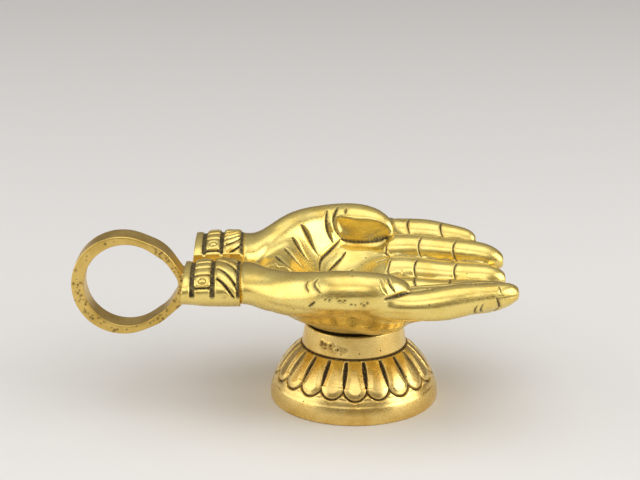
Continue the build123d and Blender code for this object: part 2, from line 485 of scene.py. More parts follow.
    def finish(self, rounds: int, deep: float, most: float) -> None:
        """Keep the carved surface, with patina in the hollows that polishing doesn't reach.

        Args:
            rounds: How wide a hollow is looked for.
            deep: Depth in millimetres that is fully dark.
            most: Darkest stain that a hollow gets.
        """
        self.write()
        hollow = ((self.averaged(rounds) - self.points) * self.normals).sum(1)
        self.darken_patina_and_shade(most * ease(0.25 * deep, deep, hollow))
        # The stored patina layer also holds the painted shade laid on some pieces before.
        layer = self.piece.data.attributes.new("patina", "FLOAT", "POINT")
        layer.data.foreach_set("value", np.clip(self.stain, 0.0, 1.0))


@dataclass(frozen=True)
class BrassFinish:
    """Cast brass, filed and buffed by hand; dark copper oxide stays in every recess.

    The eye gets a warm yellow metal with a soft satin gloss, cloudy darker and lighter patches a few
    millimetres wide, fine buffing marks, black casting pits and brown-black lines.

    Attributes:
        name: Name of the material.
        clean: Colour of the buffed metal.
        cloudy: Colour where a thin film has formed again.
        oxide: Colour of the recesses, also given to the painted shade that the patina layer carries.
        roughness: Roughness of the buffed metal.
        oxide_roughness: Roughness of the recesses.
        oxide_metal: How metallic the recesses are.
        cloud_mm: Width of the cloudy patches.
        buff_mm: Width of the buffing marks, drawn coarser than real ones so that they show.
        dent_mm: Width of the shallow dents left by the file.
        crumb_mm: Width of the crumbs that make the edge of the patina ragged.
        pit_mm: Spacing of the places that may hold a casting pit.
        pit_share: Share of those places that hold one.
        pit_radius: Radius of a pit as a share of the spacing.
    """

    name: str
    clean: str = "#F5DD85"
    cloudy: str = "#E6C361"
    oxide: str = "#2E2010"
    roughness: float = 0.27
    oxide_roughness: float = 0.62
    oxide_metal: float = 0.35
    cloud_mm: float = 9.0
    buff_mm: float = 0.5
    dent_mm: float = 3.5
    crumb_mm: float = 0.7
    pit_mm: float = 1.6
    pit_share: float = 0.06
    pit_radius: float = 0.22

    def material(self) -> bpy.types.Material:
        """Build the material.

        Returns:
            The new material.
        """
        material = bpy.data.materials.new(self.name)
        material.use_nodes = True
        material.node_tree.nodes.clear()
        add = partial(add_node, material.node_tree)
        place = add("ShaderNodeTexCoord").outputs["Object"]
        # The patina layer also carries painted shade, under the hands' belly and in the pedestal's well.
        patina = add("ShaderNodeAttribute", attribute_name="patina").outputs["Fac"]
        clouds = add(
            "ShaderNodeTexNoise", {"Scale": 1 / (self.cloud_mm * MM), "Detail": 4.0, "Roughness": 0.6},
            {"Vector": place},
        )
        cloud_share = add(
            "ShaderNodeMapRange", {"From Min": 0.42, "From Max": 0.78}, {"Value": clouds.outputs["Fac"]}
        )
        tone = add(
            "ShaderNodeMix", {6: linear(self.clean), 7: linear(self.cloudy)},
            {0: cloud_share.outputs["Result"]}, data_type="RGBA",
        )
        cells = add("ShaderNodeTexVoronoi", {"Scale": 1 / (self.pit_mm * MM)}, {"Vector": place})
        chance = add("ShaderNodeSeparateColor", links={"Color": cells.outputs["Color"]})
        holds = add(
            "ShaderNodeMath", {1: self.pit_share}, {0: chance.outputs["Red"]}, operation="LESS_THAN"
        )
        hole = add(
            "ShaderNodeMapRange",
            {"From Min": 0.6 * self.pit_radius, "From Max": self.pit_radius, "To Min": 1.0, "To Max": 0.0},
            {"Value": cells.outputs["Distance"]},
        )
        pits = add(
            "ShaderNodeMath", links={0: holds.outputs[0], 1: hole.outputs["Result"]}, operation="MULTIPLY"
        )
        crumbs = add(
            "ShaderNodeTexNoise", {"Scale": 1 / (self.crumb_mm * MM), "Detail": 3.0}, {"Vector": place}
        )
        ragged = add(
            "ShaderNodeMapRange", {"From Min": 0.25, "From Max": 0.75, "To Min": 0.72, "To Max": 1.28},
            {"Value": crumbs.outputs["Fac"]},
        )
        # Patina and painted shade from the mesh layer, with a ragged edge; the casting pits join them
        # below.
        ragged_patina_and_shade = add("ShaderNodeMath", links={0: patina, 1: ragged.outputs["Result"]}, operation="MULTIPLY")
        recess = add(
            "ShaderNodeMath", links={0: ragged_patina_and_shade.outputs[0], 1: pits.outputs[0]},
            operation="MAXIMUM", use_clamp=True,
        )
        colour = add(
            "ShaderNodeMix", {7: linear(self.oxide)}, {0: recess.outputs[0], 6: tone.outputs[2]},
            data_type="RGBA",
        )
        strokes = add(
            "ShaderNodeMapping", {"Scale": (0.08, 1.0, 1.0), "Rotation": (0.0, 0.35, 0.2)},
            {"Vector": place},
        )
        buffing = add(
            "ShaderNodeTexNoise", {"Scale": 1 / (self.buff_mm * MM), "Detail": 2.0},
            {"Vector": strokes.outputs["Vector"]},
        )
        gloss = add(
            "ShaderNodeMapRange", {
                "From Min": 0.3, "From Max": 0.7,
                "To Min": self.roughness - 0.05, "To Max": self.roughness + 0.07,
            },
            {"Value": buffing.outputs["Fac"]},
        )
        rough = add(
            "ShaderNodeMix", {3: self.oxide_roughness}, {0: recess.outputs[0], 2: gloss.outputs["Result"]},
            data_type="FLOAT",
        )
        metal = add(
            "ShaderNodeMapRange", {"To Min": 1.0, "To Max": self.oxide_metal}, {"Value": recess.outputs[0]}
        )
        dents = add(
            "ShaderNodeTexNoise", {"Scale": 1 / (self.dent_mm * MM), "Detail": 2.0}, {"Vector": place}
        )
        relief = add(
            "ShaderNodeMath", {1: 0.12}, {0: buffing.outputs["Fac"], 2: dents.outputs["Fac"]},
            operation="MULTIPLY_ADD",
        )
        sunk = add(
            "ShaderNodeMath", {1: -1.5}, {0: pits.outputs[0], 2: relief.outputs[0]},
            operation="MULTIPLY_ADD",
        )
        bump = add("ShaderNodeBump", {"Strength": 0.2, "Distance": 0.1 * MM}, {"Height": sunk.outputs[0]})
        shader = add("ShaderNodeBsdfPrincipled", links={
            "Base Color": colour.outputs[2], "Metallic": metal.outputs["Result"],
            "Roughness": rough.outputs[0], "Normal": bump.outputs["Normal"],
        })
        add("ShaderNodeOutputMaterial", links={"Surface": shader.outputs["BSDF"]})
        return material


def dress(piece: bpy.types.Object, finish: BrassFinish, body: str, slot: str, *nodes: str) -> None:
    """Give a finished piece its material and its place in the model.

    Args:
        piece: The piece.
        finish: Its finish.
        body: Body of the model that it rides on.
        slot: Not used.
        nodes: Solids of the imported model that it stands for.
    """
    piece.data.materials.clear()
    piece.data.materials.append(finish.material())
    select_only(piece)
    bpy.ops.object.shade_smooth()
    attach(piece, body)
    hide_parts(*nodes)
    LOG.info("%s: %d faces", piece.name, len(piece.data.polygons))


@dataclass(frozen=True)
class Digit:
    """Finger or thumb with its creases and nail.

    Attributes:
        stations: Place along X, distance from the seam, height, half width and half height of its sections.
        palm: Direction of its palm side round a section, in degrees: 0 is outwards and 90 up.
        creases: Places of the creases across its palm side.
        knuckles: Places of the marks across its back.
        nail: Where its nail starts.
        reach: Length of the left one as a share of the right one.
        reach_from: Place from which the left one is shorter.
        droop: Slope by which the left one lies flatter.
        droop_from: Place from which it does.
    """

    stations: tuple[tuple[float, float, float, float, float], ...]
    palm: float
    creases: tuple[float, ...]
    knuckles: tuple[float, ...]
    nail: float
    reach: float = 1.0
    reach_from: float = 1.0
    droop: float = 0.0
    droop_from: float = 26.0

    def along(self, side: Side, x: float | np.ndarray) -> float | np.ndarray:
        """Move a place along the right digit to the same place along the digit of a side."""
        if side is Side.RIGHT:
            return x
        return x - (1 - self.reach) * np.clip(np.asarray(x) - self.reach_from, 0.0, None)

    def table(self, side: Side) -> np.ndarray:
        """Work out the sections of the digit on one side.

        Args:
            side: Which hand.

        Returns:
            One row for each of the five values, with a column for each section.
        """
        rows = np.array(self.stations, float).T
        rows[0] = self.along(side, rows[0])
        if side is Side.LEFT:
            rows[2][1:] -= self.droop * (rows[0][1:] - self.droop_from)
        return rows

    def spot(self, side: Side, x: float, turn: float) -> Point:
        """Find a point on the digit.

        Args:
            side: Which hand.
            x: Place along X on the right hand.
            turn: Direction round the section in degrees.

        Returns:
            The point in millimetres.
        """
        rows = self.table(side)
        place = float(self.along(side, x))
        _, y, z, wide, high = (float(np.interp(place, rows[0], row)) for row in rows)
        angle = math.radians(turn)
        return place, side.value * (y + wide * math.cos(angle)), z + high * math.sin(angle)

    def across(self, side: Side, x: float, turn: float, spread: float, bow: float) -> tuple[Point, ...]:
        """Lay a bowed line across the digit.

        Args:
            side: Which hand.
            x: Place of its ends along X.
            turn: Direction of its middle round the section.
            spread: Degrees from the middle to each end.
            bow: How far its middle lies behind its ends.

        Returns:
            Points along the line.
        """
        shares = (-1.0, -0.6, -0.2, 0.2, 0.6, 1.0)
        return tuple(self.spot(side, x - bow * (1 - s * s), turn + spread * s) for s in shares)

    def cuts(self, side: Side) -> list[Cut]:
        """List the lines engraved on the digit.

        Args:
            side: Which hand.

        Returns:
            The creases, knuckle marks and nail.
        """
        back = self.palm + 180
        tip = self.stations[-1][0]
        lines = []
        for x in self.creases:
            lines.append(Cut(self.across(side, x, self.palm, spread=48, bow=1.7), 0.5, 0.5, burr=0.08))
        for x in self.knuckles:
            mark = self.across(side, x, back + 14, spread=30, bow=0.8)
            lines.append(Cut(mark, 0.48, 0.45, burr=0.08, stain=0.85))
        root = self.across(side, self.nail, back, spread=62, bow=-1.2)
        lines.append(Cut(root, 0.5, 0.5, Taper.BLUNT, burr=0.05))
        for edge in (-58, 58):
            places = (self.nail, (self.nail + tip) / 2, tip - 1.2)
            run = tuple(self.spot(side, x, back + edge) for x in places)
            lines.append(Cut(run, 0.4, 0.3, Taper.FAR_END, 0.7))
        return lines


THUMB = Digit(
    stations=(
        (-30, 25.0, 53.0, 11.2, 8.2), (-18, 35.0, 55.2, 9.2, 8.4), (-3, 41.2, 55.6, 8.0, 8.0),
        (8, 40.8, 55.4, 7.3, 7.3), (15, 38.8, 55.0, 5.5, 5.5), (19.2, 37.2, 54.8, 2.6, 2.6),
    ),
    palm=205, creases=(), knuckles=(), nail=13.7, reach=0.84, reach_from=-3.0,
)
INDEX = Digit(
    stations=(
        (1, 39.2, 54.0, 2.8, 3.2), (13, 41.2, 50.8, 6.0, 6.2), (27, 41.0, 51.0, 6.0, 6.0),
        (42, 38.0, 52.4, 5.6, 5.5), (50, 36.2, 52.9, 4.8, 4.7), (55.4, 34.9, 53.1, 4.0, 3.9),
        (58.7, 34.1, 53.0, 1.8, 1.8),
    ),
    palm=128, creases=(27.6, 43.2), knuckles=(43.0, 45.2), nail=50.0, reach=0.82, droop=0.11,
)
MIDDLE = Digit(
    stations=(
        (1, 32.0, 43.4, 2.8, 3.0), (13, 30.2, 46.2, 6.3, 6.2), (27, 29.5, 48.3, 6.3, 6.1),
        (44, 27.2, 49.4, 5.9, 5.6), (54.6, 25.6, 49.3, 4.7, 4.6), (58.4, 24.8, 49.0, 2.2, 2.2),
    ),
    palm=148, creases=(14.0, 26.9, 40.2), knuckles=(41.5, 44.0), nail=50.0, droop=0.11,
)
RING_FINGER = Digit(
    stations=(
        (1, 19.5, 35.6, 2.8, 3.0), (13, 18.2, 41.2, 6.3, 6.2), (27, 17.8, 42.8, 6.4, 6.0),
        (44, 16.2, 44.2, 6.0, 5.4), (54.6, 15.0, 44.9, 4.7, 4.5), (58.4, 14.3, 45.0, 2.2, 2.2),
    ),
    palm=146, creases=(14.7, 24.8, 40.0), knuckles=(41.5, 44.0), nail=50.0, droop=0.11,
)
LITTLE = Digit(
    stations=(
        (1, 6.6, 32.2, 2.8, 3.0), (13, 6.3, 37.4, 5.8, 6.0), (27, 6.2, 39.0, 5.8, 5.7),
        (42, 5.8, 41.1, 5.4, 5.0), (51.4, 5.3, 42.4, 4.2, 4.1), (55, 5.0, 42.9, 2.0, 2.0),
    ),
    palm=110, creases=(14.0, 24.5, 38.0), knuckles=(39.0, 41.3), nail=47.0, droop=0.11,
)


# Crease at the root of the thumb's pad; the pad ends on it.
PAD_CREASE = ((-5.9, 38.6, 63.4), (-7.8, 33.5, 60.6), (-6.8, 32.3, 55.6), (-4.0, 32.7, 52.8))


@dataclass(frozen=True)
class Zone:
    """Part of a hand with soft edges, in millimetres.

    Each edge is the ramp over which the zone fades, or None where it is open.

    Attributes:
        back: Edge towards the wrist, along X.
        front: Edge towards the fingertips, along X.
        inner: Edge towards the seam.
        outer: Edge away from the seam.
        bottom: Lower edge.
        top: Upper edge.
    """

    back: Ramp | None = None
    front: Ramp | None = None
    inner: Ramp | None = None
    outer: Ramp | None = None
    bottom: Ramp | None = None
    top: Ramp | None = None

    def share(self, x: np.ndarray, away: np.ndarray, z: np.ndarray) -> np.ndarray:
        """Tell how far points belong to the zone.

        Args:
            x: Places along X.
            away: Distances from the seam.
            z: Heights.

        Returns:
            A share from 0 to 1 for each point.
        """
        share = np.ones(len(x))
        edges = ((x, self.back, self.front), (away, self.inner, self.outer), (z, self.bottom, self.top))
        for value, rise, fall in edges:
            if rise:
                share *= ease(*rise, value)
            if fall:
                share *= 1 - ease(*fall, value)
        return share


@dataclass
class CuppedHand:
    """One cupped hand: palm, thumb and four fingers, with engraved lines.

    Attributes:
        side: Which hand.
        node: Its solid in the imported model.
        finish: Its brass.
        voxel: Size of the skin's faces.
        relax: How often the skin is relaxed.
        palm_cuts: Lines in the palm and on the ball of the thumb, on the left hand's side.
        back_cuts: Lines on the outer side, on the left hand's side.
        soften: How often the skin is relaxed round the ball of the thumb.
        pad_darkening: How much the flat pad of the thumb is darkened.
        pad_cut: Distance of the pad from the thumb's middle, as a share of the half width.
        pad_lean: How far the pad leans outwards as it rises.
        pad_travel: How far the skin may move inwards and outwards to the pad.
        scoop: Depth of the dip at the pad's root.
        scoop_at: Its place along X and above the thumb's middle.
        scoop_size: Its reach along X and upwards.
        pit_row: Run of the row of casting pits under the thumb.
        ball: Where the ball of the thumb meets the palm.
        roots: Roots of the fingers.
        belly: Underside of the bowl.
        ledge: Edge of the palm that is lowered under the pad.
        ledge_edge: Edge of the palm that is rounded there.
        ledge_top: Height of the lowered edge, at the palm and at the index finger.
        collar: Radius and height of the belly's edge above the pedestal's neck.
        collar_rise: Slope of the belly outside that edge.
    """

    side: Side
    node: str
    finish: BrassFinish
    voxel: float = 0.6
    relax: int = 10
    palm_cuts: tuple[Cut, ...] = (
        Cut(
            ((-20.2, 25.9, 60.3), (-17.2, 25.2, 55.0), (-13.6, 23.2, 47.9)), 1.05, 0.95,
            Taper.DART, burr=0.06,
        ),
        Cut(
            ((-24.0, 20.4, 56.5), (-20.8, 18.5, 52.4), (-17.4, 17.7, 47.6)), 1.00, 0.90,
            Taper.DART, burr=0.06,
        ),
        Cut(
            ((-26.6, 14.0, 54.3), (-23.0, 11.4, 50.9), (-19.2, 11.8, 46.7)), 0.95, 0.85,
            Taper.DART, burr=0.06,
        ),
        Cut(
            ((-29.9, 9.0, 52.9), (-27.6, 5.1, 52.1), (-24.2, 2.8, 50.5)), 1.0, 0.75,
            Taper.DART, burr=0.06,
        ),
        Cut(
            ((-10.1, 35.6, 62.8), (-10.5, 31.9, 60.1), (-10.1, 31.0, 55.5), (-8.0, 30.1, 51.2)),
            0.75, 0.75,
        ),
        Cut(PAD_CREASE, 0.8, 0.95, burr=0.12),
        Cut(((-2.6, 38.2, 63.0), (-3.0, 35.3, 61.4)), 0.5, 0.5, stain=0.9, burr=0.1),
        Cut(
            ((-4.7, 31.8, 51.9), (-8.9, 27.6, 48.8), (-12.9, 22.4, 46.7), (-13.1, 17.1, 43.7)), 0.75, 0.8,
            burr=0.08,
        ),
        Cut(((-2.9, 28.6, 47.6), (-6.2, 24.5, 45.0), (-9.9, 19.1, 43.0)), 0.7, 0.7, burr=0.08),
        Cut(((0.2, 21.1, 42.8), (-2.1, 19.8, 42.0), (-4.0, 17.5, 41.0)), 0.5, 0.45),
        Cut(
            (
                (-4.6, 33.4, 51.4), (-0.6, 33.9, 50.3), (5.9, 33.7, 50.2), (11.0, 33.4, 50.8),
                (13.8, 33.6, 52.2),
            ),
            0.7, 0.7, Taper.BLUNT,
        ),
    )
    back_cuts: tuple[Cut, ...] = (
        Cut(((-17.1, 40.2, 60.3), (-18.4, 41.7, 58.4), (-16.8, 43.9, 56.8)), 0.5, 0.5, stain=0.8, burr=0.1),
        Cut(
            ((-13.5, 41.5, 61.5), (-15.8, 42.9, 59.5), (-12.7, 46.2, 57.1)), 0.6, 0.6,
            stain=0.85, burr=0.1,
        ),
        Cut(((8.5, 43.6, 62.0), (9.3, 46.4, 59.4), (10.7, 46.7, 57.1)), 0.5, 0.45, stain=0.6, burr=0.08),
        Cut(((10.3, 47.2, 55.3), (15.4, 43.9, 55.9), (20.2, 40.5, 56.4)), 0.8, 0.9, Taper.BLUNT),
        Cut(((11.3, 41.6, 61.7), (11.6, 44.4, 60.0), (13.7, 44.9, 57.1)), 0.55, 0.55, burr=0.08),
        Cut(((-17.1, 44.5, 51.4), (-14.7, 45.8, 54.1)), 0.6, 0.55, burr=0.1),
        Cut(((51.0, 37.9, 57.2), (51.6, 40.0, 54.9)), 0.35, 0.3),
    )

    soften: int = 45
    pad_darkening: float = 0.06
    pad_cut: float = 0.86
    pad_lean: float = 0.1
    pad_travel: tuple[float, float] = (-1.2, 2.6)
    scoop: float = 0.5
    scoop_at: tuple[float, float] = (-2.6, 1.5)
    scoop_size: tuple[float, float] = (2.8, 3.2)
    pit_row: Cut = Cut(((-11.0, 47.3, 55.3), (-5.1, 48.9, 55.2), (-1.4, 49.1, 54.0), (3.4, 49.0, 54.2)))
    ball: Zone = Zone(back=(-37.0, -32.0), front=(-9.0, -5.0), bottom=(38.0, 41.0))
    roots: Zone = Zone(back=(-6.0, 0.0), front=(11.5, 14.5), outer=(28.5, 32.0), top=(48.5, 51.0))
    belly: Zone = Zone(back=(-36.0, -30.0), front=(12.0, 34.0), inner=(1.0, 3.0), top=(48.0, 53.0))
    ledge: Zone = Zone(back=(-6.0, -3.0), front=(14.0, 16.0), inner=(25.0, 28.0), outer=(33.2, 34.0))
    ledge_edge: Zone = Zone(
        back=(-8.0, -5.0), front=(13.0, 16.0), inner=(27.0, 29.0), outer=(34.5, 36.0),
        bottom=(45.5, 47.5), top=(50.6, 51.4),
    )
    ledge_top: tuple[float, float] = (49.0, 53.0)
    collar: tuple[float, float] = (18.8, 31.4)
    collar_rise: float = 0.8

    def mirrored(self, cut: Cut) -> Cut:
        """Move a cut to this hand's side."""
        return replace(cut, path=tuple((x, self.side.value * y, z) for x, y, z in cut.path))

    def thumb_pad(self, skin: Skin) -> tuple[np.ndarray, np.ndarray]:
        """Find the flat pad on the inner side of the thumb, which runs down to the palm.

        Args:
            skin: Skin of the hand.

        Returns:
            The share by which each point belongs to the pad, and how far outwards the pad lies from it.
        """
        rows = THUMB.table(self.side)
        x, y, z = skin.points.T
        away = y * self.side.value
        place = np.maximum(x, THUMB.reach_from)
        middle, height, wide, high = (np.interp(place, rows[0], row) for row in rows[1:])
        rise = z - height
        tip = rows[0][-1]
        crease_x, _, crease_z = np.array(PAD_CREASE[::-1]).T
        crease = np.interp(z, crease_z, crease_x)
        share = window((crease - 0.2, crease + 1.2), (tip - 5.0, tip - 2.0), x)
        share *= window((-6.4, -5.6), (0.2 * high, 0.8 * high), rise)
        share *= (away < middle) * ease(0.1, 0.4, -skin.normals[:, 1] * self.side.value)
        ahead = (x - self.scoop_at[0]) / self.scoop_size[0]
        above = (rise - self.scoop_at[1]) / self.scoop_size[1]
        dip = self.scoop * np.exp(-(ahead ** 2) - above ** 2)
        outwards = middle - self.pad_cut * wide + self.pad_lean * rise + dip - away
        return share, np.where(rise > 0, np.maximum(outwards, 0.0), outwards)

    def soften_palm(self, skin: Skin) -> None:
        """Round the ball of the thumb, the roots of the fingers and the belly, where the forms meet.

        Args:
            skin: Skin of the hand.
        """
        rows = THUMB.table(self.side)
        x, y, z = skin.points.T
        away = y * self.side.value
        thumb = np.interp(x, rows[0], rows[1])
        facing = ease(-0.1, 0.3, skin.normals[:, 2]) * ease(0.4, 2.0, away)
        ball = self.ball.share(x, away, z) * (1 - ease(thumb - 6.0, thumb - 1.0, away)) * facing
        roots = self.roots.share(x, away, z) * facing
        belly = self.belly.share(x, away, z) * skin.facing_down() * ease(19.8, 22.0, np.hypot(x, y))
        skin.relax(self.soften, ball)
        skin.relax(3 * self.soften, np.maximum(roots, belly))

    def close_on_neck(self, skin: Skin) -> None:
        """Draw the belly down to a round collar just above the pedestal's neck.

        Args:
            skin: Skin of the hand.
        """
        x, y, z = skin.points.T
        reach = np.hypot(x, y)
        collar = self.collar[1] + self.collar_rise * np.clip(reach - self.collar[0], 0.0, None)
        drop = np.clip(z - collar, 0.0, 3.0) * (z < 40.0) * skin.facing_down()
        skin.points[:, 2] -= drop * (1 - ease(21.0, 27.0, reach))

    def soften_ledge(self, skin: Skin) -> None:
        """Lower the edge of the palm just under the thumb's pad, then round it.

        Args:
            skin: Skin of the hand.
        """
        x, y, z = skin.points.T
        away = y * self.side.value
        palm, finger = self.ledge_top
        top = palm + (finger - palm) * ease(11.0, 15.0, x)
        low = self.ledge.share(x, away, z) * ease(-0.2, 0.1, skin.normals[:, 2])
        skin.points[:, 2] -= np.clip(z - top, 0.0, 4.0) * low
        skin.relax(14, self.ledge_edge.share(x, away, z))

    def paint_shade_under_belly(self, skin: Skin) -> None:
        """Paint shade under the belly, darkest in the gap above the pedestal's neck.

        Args:
            skin: Skin of the hand.
        """
        reach = np.hypot(skin.points[:, 0], skin.points[:, 1])
        # Painted shade: darkest close to the neck, and only on skin that faces down.
        shade = 0.3 * (1 - ease(20.0, 33.0, reach)) + 0.7 * (1 - ease(19.2, 20.2, reach))
        skin.darken_patina_and_shade(shade * ease(0.35, 0.8, -skin.normals[:, 2]))

    def gaps(self, skin: Skin) -> list[tuple[Cut, np.ndarray]]:
        """Find the grooves between neighbouring fingers, on the palm side and on the back.

        Args:
            skin: Skin of the hand.

        Returns:
            Pairs of a cut and its path on the skin.
        """
        found = []
        places = np.linspace(9.0, 50.0, 60)
        for upper, lower in ((INDEX, MIDDLE), (MIDDLE, RING_FINGER), (RING_FINGER, LITTLE)):
            turn = math.radians((upper.palm + lower.palm) / 2)
            inner = np.array([upper.spot(self.side, x, upper.palm + 90) for x in places])
            outer = np.array([lower.spot(self.side, x, lower.palm - 90) for x in places])
            rise = np.array([0.0, self.side.value * math.cos(turn), math.sin(turn)])
            for down in (-rise, rise):
                path = skin.dropped((inner + outer) / 2, down, 14.0)
                if len(path) > 8:
                    found.append((Cut((), 0.55, 0.7, Taper.FAR_END, 0.95), path))
        return found

    def casting_pits(self, skin: Skin) -> None:
        """Scatter casting pits under the thumb, where the real casting has a row of them.

        Args:
            skin: Skin of the hand.
        """
        dice = random.Random(11 + self.side.value)
        for spot in skin.snapped(self.mirrored(self.pit_row).path, 0.9):
            if dice.random() < 0.8:
                shift = np.array([dice.uniform(-0.5, 0.5), 0.0, dice.uniform(-0.6, 0.6)])
                radius = dice.uniform(0.4, 0.8)
                skin.pit(spot + shift, radius, 0.7 * radius, dice.uniform(0.7, 1.0), 0.15 * radius)

    def build(self) -> bpy.types.Object:
        """Cast, shape and engrave the hand.

        Returns:
            The finished piece.
        """
        piece = cast_blank(self.node, f"{self.node}_casting", self.voxel, self.relax)
        skin = Skin(piece)
        self.soften_palm(skin)
        self.close_on_neck(skin)
        skin.write()
        share, outwards = self.thumb_pad(skin)
        skin.points[:, 1] += self.side.value * np.clip(outwards, *self.pad_travel) * share
        skin.relax(10, share)
        self.soften_ledge(skin)
        skin.write()
        cuts = [self.mirrored(cut) for cut in self.palm_cuts + self.back_cuts]
        for digit in (INDEX, MIDDLE, RING_FINGER, LITTLE):
            cuts += digit.cuts(self.side)
        lines = [(cut, skin.snapped(cut.path)) for cut in cuts]
        lines += self.gaps(skin)
        row = skin.snapped(self.mirrored(self.pit_row).path)
        skin.refine([path for _, path in lines] + [row], 1.5)
        # Darken the thumb's flat pad a little.
        skin.stain = self.pad_darkening * self.thumb_pad(skin)[0]
        # Painted shade under the belly.
        self.paint_shade_under_belly(skin)
        for cut, path in lines:
            skin.engrave(cut, path)
        self.casting_pits(skin)
        skin.keep_inside()
        skin.finish(14, 0.45, 0.7)
        dress(piece, self.finish, "hands", "cast_brass", self.node)
        return piece


@dataclass
class BangleCuff:
    """Stack of three bangles round one wrist: a plain rim, a band of panels and a band of leaves.

    The ornament covers the upper half; below, the three bangles run together into a plain side.

    Attributes:
        side: Which wrist.
        node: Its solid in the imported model.
        finish: Its brass.
        veins: Where the lines between the leaves start, measured round the cuff outwards from the top.
        sweep: How far round a leaf's line runs on its way to the hand.
        middle: Distance from the seam and height of its middle.
        half: Half width and half height of its section.
        wrist: Where the cuff meets the hand along X.
        widths: Widths of the leaf band, the panel band and the plain rim.
        groove: Width of the groove before each band.
        notches: Places of the lines across the panel band, measured round the cuff.
        bosses: Places of the round bosses.
        dressed: Ends of the ornament on the inner and on the outer side.
        voxel: Size of the skin's faces.
        outside: Where the skin counts as the cuff's outside, as a share of its section.
        inner_edge: Where the ornament fades towards the seam.
        swell: Height of the panels and of the leaves.
        cut: Depth of the notches and of the lines between the leaves.
        mark: Place of the casting pit beside the wrist.
    """

    side: Side
    node: str
    finish: BrassFinish
    veins: tuple[float, ...] = (-15.0, -9.0, -3.0, 4.6, 10.6)
    sweep: float = 10.2
    middle: tuple[float, float] = (17.5, 51.3)
    half: tuple[float, float] = (14.0, 7.9)
    wrist: float = -42.0
    widths: tuple[float, float, float] = (8.4, 6.2, 4.2)
    groove: float = 1.1
    notches: tuple[float, ...] = (-11.9, -5.2, -0.4, 4.4, 9.0, 14.7)
    bosses: tuple[float, ...] = (-8.5, 11.9)
    dressed: tuple[float, float] = (-17.0, 17.5)
    voxel: float = 0.27
    outside: Ramp = (0.86, 0.9)
    inner_edge: Ramp = (5.3, 6.0)
    swell: tuple[float, float] = (0.3, 0.35)
    cut: tuple[float, float] = (0.75, 0.95)
    mark: Point = (-47.5, 31.4, 50.5)

    def band(self, number: int) -> tuple[float, float]:
        """Give the ends of a band along X, counted from the hand."""
        high = self.wrist - sum(self.widths[:number]) - self.groove * (number + 1)
        return high - self.widths[number], high

    def section(self, skin: Skin) -> tuple[np.ndarray, np.ndarray, np.ndarray, np.ndarray]:
        """Measure where points lie in the cuff's section.

        Args:
            skin: Skin of the cuff.

        Returns:
            Distance outwards and upwards from the middle, how far out each point lies, where 1 is the
            outline, and how far it belongs to the outside that may be carved.
        """
        y = skin.points[:, 1] * self.side.value - self.middle[0]
        z = skin.points[:, 2] - self.middle[1]
        out = np.hypot(y / self.half[0], z / self.half[1])
        return y, z, out, ease(*self.outside, out) * ease(*self.inner_edge, y + self.middle[0])

    def arc(self, y: np.ndarray, z: np.ndarray) -> np.ndarray:
        """Measure how far round the cuff points lie.

        Args:
            y: Distances outwards from the middle.
            z: Distances upwards from the middle.

        Returns:
            Distance from the top along the section, positive outwards.
        """
        turns = np.linspace(-math.pi, math.pi, 721)
        pace = np.hypot(self.half[0] * np.cos(turns), self.half[1] * np.sin(turns))
        run = np.cumsum(pace) * (turns[1] - turns[0])
        run -= np.interp(0.0, turns, run)
        return np.interp(np.arctan2(y / self.half[0], z / self.half[1]), turns, run)

    def in_grooves(self, x: np.ndarray, margin: float) -> np.ndarray:
        """Tell how far points lie in the grooves between the bands.

        Args:
            x: Places along X.
            margin: How far beyond a groove's walls it still counts.

        Returns:
            A share from 0 to 1 for each point.
        """
        share = np.zeros(len(x))
        for number in range(len(self.widths)):
            low = self.band(number)[1]
            high = low + self.groove
            share = np.maximum(share, window((low - margin, low + 0.15), (high - 0.15, high + margin), x))
        return share

    def fill_plain_side(self, skin: Skin) -> None:
        """Close the grooves on the lower half, where the bangles run together.

        Args:
            skin: Skin of the cuff.
        """
        y, z, out, carved = self.section(skin)
        first, last = self.dressed
        plain = 1 - window((first - 2, first), (last, last + 2), self.arc(y, z))
        plain *= carved * self.in_grooves(skin.points[:, 0], 0.5)
        grow = 1 + plain * (0.995 / np.maximum(out, 0.5) - 1)
        skin.points[:, 1] = self.side.value * (self.middle[0] + y * grow)
        skin.points[:, 2] = self.middle[1] + z * grow

    @staticmethod
    def fields(marks: tuple[float, ...], places: np.ndarray) -> tuple[np.ndarray, np.ndarray]:
        """Divide the way round the cuff into the fields between marks.

        Args:
            marks: Places of the marks.
            places: Places of the points.

        Returns:
            A half wave from 0 at a field's marks to 1 at its middle, with 0 outside the first and last
            mark, and the distance of each point from the nearest mark.
        """
        ends = np.array((-60.0, *marks, 60.0))
        field = np.clip(np.searchsorted(ends, places) - 1, 0, len(ends) - 2)
        low, high = ends[field], ends[field + 1]
        inside = (field > 0) & (field < len(ends) - 2)
        wave = np.sin(np.pi * np.clip((places - low) / (high - low), 0.0, 1.0))
        return wave * inside, np.minimum(np.abs(places - low), np.abs(high - places))

    def bounded(
        self, number: int, x: np.ndarray, sink: np.ndarray, depth: float, width: float,
    ) -> np.ndarray:
        """Round the edges of a band and end its relief there.

        Args:
            number: Which band, counted from the hand.
            x: Places along X.
            sink: Relief of the band.
            depth: How far its edges are turned down.
            width: Width of the rounding.

        Returns:
            How far each point sinks.
        """
        low, high = self.band(number)
        sink = sink + depth * (1 - ease(0.0, width, np.minimum(x - low, high - x)))
        return sink * window((low - 0.2, low + 0.2), (high - 0.2, high + 0.2), x)

